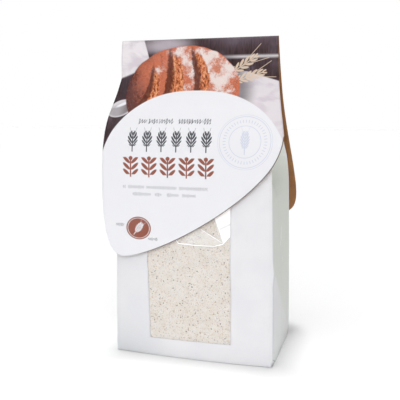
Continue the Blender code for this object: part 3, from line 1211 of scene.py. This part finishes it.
def earShape(g, u, v, height, width, pairs=6):
    # an upright ear of corn: two rows of slanting kernels, awns and a stalk. v grows upwards from its foot
    pitch = height * 0.75 / pairs
    rise = (v - height * 0.6) / (height * 0.42)
    out = abs(u) / g.highest(1 - rise * rise * 0.75, 0.2)
    cell = g.wrap(v - out * 1.3, pitch)
    kernel = g.length((out - width * 0.24) / (width * 0.2), cell / (pitch * 0.4))
    kernels = g.under(kernel, 1.0, 0.12) * g.band(v, height * 0.25, height * 0.96, 0.3)
    awns = g.under(abs(abs(u) - (v - height * 0.55) * 0.3), height * 0.006, 0.1)
    awns = awns * g.band(v, height * 0.55, height * 1.12, 0.4)
    stalk = g.under(abs(u), width * 0.045, 0.12) * g.band(v, 0, height * 0.9, 0.2)
    return g.highest(kernels, awns, stalk)


def sprigShape(g, u, v, height, width):
    # a sprig with three pairs of drop leaves
    out = abs(u)
    pitch = height * 0.3
    cell = g.wrap(v - out * 0.75 - pitch * 0.2, pitch)
    leaf = g.length((out - width * 0.27) / (width * 0.24), cell / (pitch * 0.34))
    leaves = g.under(leaf, 1.0, 0.16) * g.band(v, height * 0.12, height * 0.95, 0.3)
    stalk = g.band(u, -width * 0.045, width * 0.045, 0.12) * g.band(v, 0, height * 0.86, 0.2)
    bud = g.disc(u, v, (0, height * 0.9), (width * 0.13, height * 0.1), 0.2)
    return g.highest(leaves, stalk, bud)


def boldEar(g, u, v, height, width):
    return earShape(g, u, v, height, width, 4)


def motifRow(g, x, s, shape, left, right, top, foot, count):
    # a motif repeated along a row. s grows downwards
    pitch = (right - left) / count
    u = g.wrap(x - left - pitch / 2, pitch)
    return shape(g, u, foot - s, foot - top, pitch * 0.82) * g.band(x, left, right, 0.2)


def scribbleRow(g, x, s, left, right, middle, tall, pitch, seed):
    # a line of small loose waves, broken into groups
    slanted = x + (s - middle) * 0.35
    uneven = g.noise(g.vector(x * 0.55 + seed * 3.1, seed), 1.0, 1.0)
    groups = g.noise(g.vector(x * 0.21 + seed * 7.7, seed), 1.0, 0.0)
    reach = tall * (0.24 + 0.26 * g.step(uneven, 0.3, 0.7))
    phase = slanted * (2 * math.pi / pitch) + uneven * 4.0
    wave = g.maths("SINE", phase) * reach
    steep = g.maths("COSINE", phase) * reach * (2 * math.pi / pitch)
    off = abs(s - middle - wave) / g.maths("SQRT", steep * steep + 1.0)
    stroke = g.under(off, pitch * 0.12, pitch * 0.08)
    return stroke * g.over(groups, 0.36, 0.03) * g.band(x, left, right, 0.3)


sealRings = ((1.0, 0.22, 0.15), (0.62, 0.22, 0.15), (1.07, 0.12, 0.12))  # radius, width and softness


def sealShape(g, x, s, centre, radius):
    # two thin rings with ticks between, round a small ear
    dx = x - centre[0]
    dy = s - centre[1]
    far = g.length(dx, dy)
    turn = g.maths("ARCTAN2", dy, dx)
    rings = g.highest(*[g.under(abs(far - radius * share), width, soft)
                        for share, width, soft in sealRings])
    ticks = g.under(abs(g.wrap(turn * 44 / (2 * math.pi), 1.0)), 0.13, 0.09)
    ticks = ticks * g.band(far, radius * 0.75, radius * 0.87, 0.2)
    ear = earShape(g, dx, radius * 0.5 - dy, radius * 0.95, radius * 0.42)
    return g.highest(rings, ticks, ear)


def badgeShape(g, x, s, centre, radii):
    # an oval patch and what is left white in it
    oval = g.disc(x, s, centre, radii, 0.25)
    u, v = g.turned(x, s, centre, 38)
    ear = earShape(g, u, radii[1] * 0.75 - v, radii[1] * 1.4, radii[1] * 0.7)
    rim = g.length((x - centre[0]) / radii[0], (s - centre[1]) / radii[1])
    ring = g.under(abs(rim - 0.88), 0.02, 0.015)
    return oval, g.highest(ear, ring)


def boardColour(g, x, s, shift):
    # dark boards with upright grain
    grain = g.noise(g.vector(x * 2.2, s * 0.14 + shift), 1.0, 4.0, 0.65)
    shade = g.noise(g.vector(x, s + shift), 0.06, 2.0)
    board = pictureLayout["board"]
    boardGap = g.under(abs(abs(g.wrap(x + 4, board)) - board / 2), 0.35, 0.3)
    return g.paint(
        "wood",
        (g.step(grain, 0.38, 0.66), "woodDark"),
        (g.step(shade, 0.45, 0.75) * 0.28, "woodLight"),
        (boardGap, "woodDark"))


pictureLayout = {
    # places as (x, distance down from the fold), leans in degrees
    "loaf": (-11, 38),
    "loafLean": -10,
    "loafRadii": (43, 32),
    # curved cuts over the loaf: centre, half width and half length, lean, curl
    "cuts": (((-24, 0), (4.6, 19), 36, 0.012),
             ((-4, -5), (6.2, 22), 22, 0.010),
             ((17, -6), (5.2, 19), 8, 0.010)),
    "shadow": (3, 5),
    "shadowRadii": (47, 35),
    "spoon": (-57, 50),
    "spoonLean": -22,
    # centre, radii and soft rim of the spoon's bowl, of the hollow in it and of the glint
    "spoonBowl": ((0, 0), (10.5, 6.2), 0.31),
    "spoonHollow": ((-0.6, 0.8), (8.6, 4.6), 0.92),
    "spoonGlint": ((2.2, -2.6), (5.5, 1.1), 0.55),
    # a soft pale blur at the top left, painted sheen of the card's gloss, as centre, radii and soft rim
    "haze": ((-22, 5), (16, 5), 3.5),
    "ears": (((18, 30), 58), ((20, 33), 74)),
    "earSize": (33, 8.0),
    "board": 29.0,
}


def loafColour(g, x, s, across, down, far):
    # a rounded crust with flour on top, torn open along its cuts
    here = g.vector(x, s)
    crackle = g.noise(here, 0.34, 5.0, 0.68, 0.8)
    grain = g.noise(here, 1.5, 4.0, 0.8)
    patches = g.noise(here, 0.075, 3.0, 0.6)
    height = g.maths("SQRT", g.highest(1 - far * far, 0.0))
    light = height * 0.55 - down * 0.012 + across * 0.011 + (patches - 0.5) * 0.5
    crust = g.paint(
        "crust",
        (g.under(light + (crackle - 0.5) * 0.8, 0.12, 0.32), "crustDark"),
        (g.over(crackle, 0.57, 0.05) * 0.35, "crustDark"),
        (g.over(light + (crackle - 0.5) * 0.5, 0.78, 0.2) * 0.6, "crustLight"),
        (g.step(grain, 0.54, 0.72) * 0.4, "flour"))
    floured = g.over(light + (patches - 0.5) * 1.1 + (grain - 0.5) * 0.7 + (crackle - 0.5) * 0.3, 0.7, 0.12)
    crust = g.blend(floured * 0.92, crust, "flour")
    opened = []
    shaded = []
    for centre, radii, lean, curl in pictureLayout["cuts"]:
        u, v = g.turned(across, down, centre, lean)
        bent = (u + v * v * curl) / radii[0] + (crackle - 0.5) * 0.9
        cut = g.length(bent, v / radii[1])
        opened.append(g.under(cut, 1.0, 0.1))
        shaded.append(g.under(bent, -0.28, 0.22) * g.under(cut, 1.22, 0.12))
    torn = g.noise(g.vector(x * 0.9, s * 0.5), 0.6, 4.0, 0.7, 0.6)
    crumb = g.paint(
        "crumb",
        (g.over(torn, 0.56, 0.06), "crumbLight"),
        (g.under(torn, 0.43, 0.05), "crustDark"))
    return g.paint(crust, (g.highest(*opened), crumb), (g.highest(*shaded) * 0.9, "crustDark"))


def linenColour(g, x, s):
    weave = g.noise(g.vector(x * 1.4, s * 1.4), 1.0, 3.0, 0.6)
    folds = g.noise(g.vector(x * 0.6 + s * 0.5, s * 1.2 - x * 0.4), 0.09, 3.0, 0.5, 0.6)
    return g.paint(
        "linen",
        (g.step(folds, 0.42, 0.66) * 0.75, "linenShade"),
        (g.step(weave, 0.5, 0.8) * 0.3, "linenShade"))


def spoonShape(g, x, s):
    # the bowl of a steel spoon, as (whole, dark hollow, glint)
    u, v = g.turned(x, s, pictureLayout["spoon"], pictureLayout["spoonLean"])
    return [g.disc(u, v, *pictureLayout[name]) for name in ("spoonBowl", "spoonHollow", "spoonGlint")]


def pictureColour(g, x, s):
    # the printed scene above the white field: boards, a loaf, linen, a spoon and ears of corn
    picture = g.paint(
        boardColour(g, x, s, 0.0),
        # the boards are lighter towards the fold at the top right; painted sheen: the pale streak 14.2 mm
        # down at the right and the soft pale blur at the top left stand in for the card's gloss where it
        # bends over the neck
        (g.under(s, 5.5, 5.0) * g.over(x, 10, 12) * 0.25, "woodLight"),
        (g.under(abs(s - 14.2), 0.7, 1.3) * g.over(x, 12, 22) * 0.85, "linen"),
        (g.disc(x, s, *pictureLayout["haze"]) * 0.7, "linenShade"))
    linen = linenColour(g, x, s)
    upper = g.under(x - s * 0.32, -39.5, 0.5) * g.under(s + (x + 56) * 0.35, 27, 0.8)
    lower = g.over(s - 0.31 * (x - 38) - g.lowest(x - 38, 0.0) ** 2 * 0.05, 24.6, 0.5) * g.over(x, 12, 3.0)
    spoon, hollow, glint = spoonShape(g, x, s)
    turned = [g.turned(x, s, foot, lean) for foot, lean in pictureLayout["ears"]]
    corn = g.highest(*[earShape(g, u, -v, *pictureLayout["earSize"]) for u, v in turned])
    across, down = g.turned(x, s, pictureLayout["loaf"], pictureLayout["loafLean"])
    wobble = g.noise(g.vector(x, s), 0.09, 2.0)
    wide, tall = pictureLayout["loafRadii"]
    far = g.length(across / wide, down / tall) + (wobble - 0.5) * 0.06
    shadow = g.disc(across, down, pictureLayout["shadow"], pictureLayout["shadowRadii"], 4.9)
    return g.paint(
        picture,
        (upper, linen),
        (lower, linen),
        (lower * 0.35, "linenShade"),
        (shadow * 0.65, "woodDark"),
        (spoon, "steel"),
        (hollow * (0.45 + g.step(x, -60, -50) * 0.35), "wood"),
        (glint * spoon, "white"),
        (corn * 0.9, "straw"),
        (g.under(far, 1.0, 0.012), loafColour(g, x, s, across, down, far)))


def picturePrint(g, x, s):
    return g.blend(g.under(fieldReach(x, s), 1.0, 0.004), pictureColour(g, x, s), "white")


# scribbles as (left, right, middle, height, wave length, seed), and
# rows of a motif as (left, right, top, foot, count)
fieldLayout = {
    "caption": ((-42.8, 13.0, 60.0, 3.6, 1.9, 1.3),),
    "ears": (-50.0, 16.5, 66.6, 82.4, 6),
    "sprigs": (-52.6, 18.2, 85.6, 100.6, 5),
    "lines": ((-51.8, 12.5, 107.8, 2.3, 1.3, 4.1), (-44.2, 4.0, 112.9, 2.3, 1.3, 6.7)),
    "badge": ((-39.7, 138.0), (9.6, 8.4)),
    "besideBadge": ((-57.5, -51.0, 136.0, 2.0, 1.2, 2.2), (-33.5, -25.0, 145.6, 2.0, 1.2, 9.4)),
    "seal": ((38.3, 74.2), 18.0),
}
backLayout = {
    "field": ((-4, 118), (76, 84), 0.25),
    "lines": [(-46 + k % 3, 26 - 5 * (k % 2), 56 + 5.2 * k, 2.2, 1.25, 3.0 + 1.7 * k) for k in range(6)],
    "table": (-14, 52, 97, 124),
    "tablePitch": 6.0,
    "seal": ((37.5, 72.7), 15.0),
    "sprigs": (8, 48, 132, 144, 3),
}


def scribbles(g, x, s, rows):
    return g.highest(*[scribbleRow(g, x, s, *row) for row in rows])


def fieldPrint(g, x, s):
    oval, inOval = badgeShape(g, x, s, *fieldLayout["badge"])
    return g.paint(
        "white",
        (scribbles(g, x, s, fieldLayout["caption"]), "grey"),
        (motifRow(g, x, s, boldEar, *fieldLayout["ears"]), "grey"),
        (motifRow(g, x, s, sprigShape, *fieldLayout["sprigs"]), "brick"),
        (scribbles(g, x, s, fieldLayout["lines"]) * 0.8, "fineGrey"),
        (sealShape(g, x, s, *fieldLayout["seal"]) * 0.6, "seal"),
        (oval, "brick"),
        (inOval * oval, "white"),
        (scribbles(g, x, s, fieldLayout["besideBadge"]) * 0.8, "grey"))


def backPrint(g, x, down):
    s = -down  # distance down the back flap
    left, right, top, foot = backLayout["table"]
    lines = g.under(abs(g.wrap(s - (top + 2), backLayout["tablePitch"])), 0.14, 0.1)
    table = g.band(x, left, right, 0.12) * lines * g.band(s, top, foot, 0.2)
    return g.paint(
        boardColour(g, x, s, 40.0),
        (g.disc(x, s, *backLayout["field"]), "white"),
        (scribbles(g, -x, s, backLayout["lines"]) * 0.75, "fineGrey"),
        (table, "fineGrey"),
        (sealShape(g, -x, s, *backLayout["seal"]) * 0.7, "seal"),
        (motifRow(g, x, s, sprigShape, *backLayout["sprigs"]), "brick"))


def makePrint(name, design):
    g = Graph(name, printLook, Coat_Roughness=0.22, Specular_IOR_Level=0.2)
    x, down = g.parts(g.attribute("cardPlace", "Vector"))[:2]
    colour = design(g, x, down)
    fibres = g.noise(g.vector(x, down), 1.6, 4.0, 0.6)
    clouds = g.noise(g.vector(x, down), 0.05, 3.0)
    foldRub = g.under(abs(down), 0.9, 0.7) * g.step(fibres, 0.4, 0.6)
    # partly the cut edge's brown core, partly painted shadow of the gap under the sloping lower edge, so it
    # fades out towards the left
    cut = g.under(g.attribute("cutEdgeAndShadow") + (fibres - 0.5) * 0.3, 0.55, 0.2) * g.over(x, -40, 16)
    colour = g.paint(
        colour,
        (foldRub * 0.45, "white"),
        (cut * 0.92, "cutEdgeAndShadow"),
        (g.step(clouds, 0.4, 0.7) * printLook["cloudTint"], "seal"))
    g.give("Base Color", colour)
    g.give("Roughness", printLook["roughness"] + (fibres - 0.5) * 0.12)
    g.give("Coat Weight", printLook["coat"] + (clouds - 0.5) * 0.06)
    g.give("Normal", g.bump(fibres, 0.12, 0.05))
    return g.material


def makeKraft():
    g = Graph("kraftBoard", printLook, Roughness=0.85)
    x, y, z = g.place()
    here = g.vector(x, y, z)
    fibres = g.noise(g.vector(x * 0.5, y, z * 1.6), 1.4, 4.0, 0.7)
    flecks = g.noise(here, 2.8, 3.0, 0.7)
    clouds = g.noise(here, 0.06, 2.0)
    colour = g.paint(
        "kraft",
        (g.step(clouds, 0.4, 0.7) * 0.5, "kraftDark"),
        (g.step(fibres, 0.5, 0.75) * 0.5, "kraftFleck"),
        (g.step(flecks, 0.6, 0.75) * 0.5, "kraftDark"))
    g.give("Base Color", colour)
    g.give("Normal", g.bump(fibres + flecks * 0.5, 0.3, 0.06))
    return g.material


def makeHeaderCard():
    path, foldDistance = foldPath()
    line = bpy.data.curves.new("foldPath", "CURVE")
    line.dimensions = "3D"
    spline = line.splines.new("POLY")
    spline.points.add(len(path) - 1)
    for point, here in zip(spline.points, path):
        point.co = (0, here.x * mm, here.y * mm, 1)
    guide = bpy.data.objects.new("foldPath", line)
    bpy.context.scene.collection.objects.link(guide)

    tree = Tree("bendCard")
    tree.ask("Fold Path", "Object", guide)
    tree.ask("Fold Distance", "Float", foldDistance * mm)
    tree.ask("Thickness", "Float", card["thickness"] * mm)
    tree.ask("Wave", "Float", card["wave"] * mm)
    tree.ask("Picture", "Material", makePrint("printedPicture", picturePrint))
    tree.ask("Field", "Material", makePrint("printedField", fieldPrint))
    tree.ask("Back", "Material", makePrint("printedBack", backPrint))
    tree.ask("Board", "Material", makeKraft())
    sheet = tree.begin()
    position = tree.node("GeometryNodeInputPosition").outputs[0]
    flat = tree.parts(position)
    noted = tree.store(sheet, "cardPlace", tree.scaled(position, 1000.0), "FLOAT_VECTOR")
    guideInfo = tree.node("GeometryNodeObjectInfo", None, {"Object": tree.asked("Fold Path")})
    reach = tree.maths("SUBTRACT", tree.asked("Fold Distance"), flat["Y"])
    sample = tree.node("GeometryNodeSampleCurve", {"mode": "LENGTH", "use_all_curves": True},
                       {"Curves": guideInfo.outputs["Geometry"], "Length": reach})
    outward = tree.vectors("CROSS_PRODUCT", (1, 0, 0), sample.outputs["Tangent"])
    outward = tree.vectors("NORMALIZE", outward)
    ripple = tree.node("ShaderNodeTexNoise", None, {"Scale": 1 / card["waveSize"], "Detail": 1.0})
    wave = tree.maths("MULTIPLY", tree.maths("SUBTRACT", ripple.outputs[0], 0.5), tree.asked("Wave"))
    base = tree.maths("SUBTRACT", wave, tree.maths("MULTIPLY", tree.asked("Thickness"), 0.5))
    across = tree.node("ShaderNodeCombineXYZ", None, {0: flat["X"]})
    spot = tree.vectors("ADD", sample.outputs["Position"], across.outputs[0])
    spot = tree.vectors("ADD", spot, tree.scaled(outward, base))
    kept = tree.store(noted, "outward", outward, "FLOAT_VECTOR")
    bent = tree.node("GeometryNodeSetPosition", None, {"Geometry": kept, "Position": spot})
    facing = tree.node("GeometryNodeInputNamedAttribute", {"data_type": "FLOAT_VECTOR"},
                       {"Name": "outward"})
    raised = tree.node("GeometryNodeExtrudeMesh", {"mode": "FACES"},
                       {"Mesh": bent.outputs[0], "Offset": facing.outputs[0],
                        "Offset Scale": tree.asked("Thickness"), "Individual": False})
    region = tree.node("GeometryNodeInputNamedAttribute", {"data_type": "INT"}, {"Name": "region"})
    printed = raised.outputs["Mesh"]
    for number, name in enumerate(("Picture", "Field", "Back")):
        same = tree.maths("COMPARE", region.outputs[0], float(number), 0.5)
        printed = tree.dress(printed, name, tree.maths("MULTIPLY", raised.outputs["Top"], same))
    edged = tree.dress(printed, "Board", raised.outputs["Side"])
    crisp = tree.node("GeometryNodeSetShadeSmooth", {"domain": "FACE"},
                      {0: edged, "Selection": raised.outputs["Side"], "Shade Smooth": False})
    turned = tree.node("GeometryNodeFlipFaces", None, {"Mesh": bent.outputs[0]})
    plain = tree.dress(turned.outputs[0], "Board")
    joined = tree.node("GeometryNodeJoinGeometry")
    for part in (crisp.outputs[0], plain):
        tree.tree.links.new(part, joined.inputs[0])
    closed = tree.node("GeometryNodeMergeByDistance", None,
                       {"Geometry": joined.outputs[0], "Distance": 0.000002})
    bare = tree.node("GeometryNodeRemoveAttribute", None,
                     {"Geometry": closed.outputs[0], "Name": "outward"})
    tree.end(bare.outputs[0])
    made = tree.applyTo(flatSheet(), "headerCard")
    bpy.data.objects.remove(guide)
    return made


# Floor, lights and camera

studio = {
    "floorWhite": srgb(212, 212, 212),
    "floorSpeckle": srgb(206, 206, 208),
    "floorHalf": 6000,
    "world": 0.25,
    "white": (1.0, 1.0, 1.0, 1.0),
    "key": 1.74,
    "keyAngle": 65.0,
    "keyFrom": (0.02, -0.58, 0.81),
    "floorLight": 2.75,  # lights the floor alone from above, so that it is white close to the bag too
    "floorLightAngle": 13.0,
    "floorLightFrom": (-0.03, 0.05, 1),
    "lens": 55.17,
    "cameraPlace": (0.1307, -0.4486, 0.1802),
    "cameraDown": 8.2,
    "cameraTurn": 16.85,
}


def makeFloor():
    size = studio["floorHalf"]
    item = meshObject("floor", [(-size, -size, 0), (size, -size, 0), (size, size, 0), (-size, size, 0)],
                      [(0, 1, 2, 3)])
    g = Graph("paleFloor", studio, Roughness=0.9, Specular_IOR_Level=0.2)
    x, y, z = g.place()
    speckle = g.noise(g.vector(x, y), 0.3, 3.0)
    g.give("Base Color", g.blend(speckle * 0.15, "floorWhite", "floorSpeckle"))
    item.data.materials.append(g.material)
    return item


def addSun(name, source, power, angle):
    # a wide even light from the direction of source
    light = bpy.data.lights.new(name, "SUN")
    light.energy = power
    light.angle = math.radians(angle)
    item = bpy.data.objects.new(name, light)
    item.rotation_mode = "QUATERNION"
    item.rotation_quaternion = (-Vector(source)).to_track_quat("-Z", "Y")
    bpy.context.scene.collection.objects.link(item)
    return item


def makeWorld():
    world = bpy.data.worlds.new("studio")
    bpy.context.scene.world = world
    world.use_nodes = True
    nodes = world.node_tree.nodes
    links = world.node_tree.links
    room = nodes["Background"]
    seen = nodes.new("ShaderNodeBackground")  # the plain white that the camera sees behind the floor
    for light, power in ((room, studio["world"]), (seen, 1.0)):
        light.inputs["Color"].default_value = studio["white"]
        light.inputs["Strength"].default_value = power
    path = nodes.new("ShaderNodeLightPath")
    chooser = nodes.new("ShaderNodeMixShader")
    links.new(path.outputs["Is Camera Ray"], chooser.inputs[0])
    links.new(room.outputs[0], chooser.inputs[1])
    links.new(seen.outputs[0], chooser.inputs[2])
    links.new(chooser.outputs[0], nodes["World Output"].inputs[0])


def makeCamera():
    camera = bpy.data.cameras.new("camera")
    camera.sensor_width = 36
    camera.lens = studio["lens"]
    camera.clip_start = 0.01
    item = bpy.data.objects.new("camera", camera)
    item.location = studio["cameraPlace"]
    item.rotation_euler = (math.radians(90 - studio["cameraDown"]), 0, math.radians(studio["cameraTurn"]))
    bpy.context.scene.collection.objects.link(item)
    bpy.context.scene.camera = item


for item in list(bpy.data.objects):
    if item.name in ("Cube", "Light", "Camera"):
        bpy.data.objects.remove(item)
bpy.context.scene.view_settings.view_transform = "Standard"

bagPaper = makeBagPaper()
print("bag paper", len(bagPaper.data.polygons))
baseFolds = makeBaseFolds(bagPaper.data.materials[0])
flourMass = makeFlourMass()
print("flour", len(flourMass.data.polygons))
branFlakes = makeBranFlakes(flourMass)
print("bran flakes", len(branFlakes.data.polygons))
windowFilm = makeWindowFilm()
print("film", len(windowFilm.data.polygons))
headerCard = makeHeaderCard()
print("card", len(headerCard.data.polygons))

for item, slot in ((bagPaper, "bag_paper"), (baseFolds, "bag_paper"), (flourMass, "flour"),
                   (branFlakes, "flour"), (windowFilm, "clear_film"), (headerCard, "card")):
    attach(item, "root")
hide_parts("paper_bag")
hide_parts("flour")
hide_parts("window_film")
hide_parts("header_card")

floor = makeFloor()
makeWorld()
addSun("key", studio["keyFrom"], studio["key"], studio["keyAngle"])
overhead = addSun("floorLight", studio["floorLightFrom"], studio["floorLight"], studio["floorLightAngle"])
floorOnly = bpy.data.collections.new("floorOnly")
floorOnly.objects.link(floor)
overhead.light_linking.receiver_collection = floorOnly
makeCamera()
print("studio")
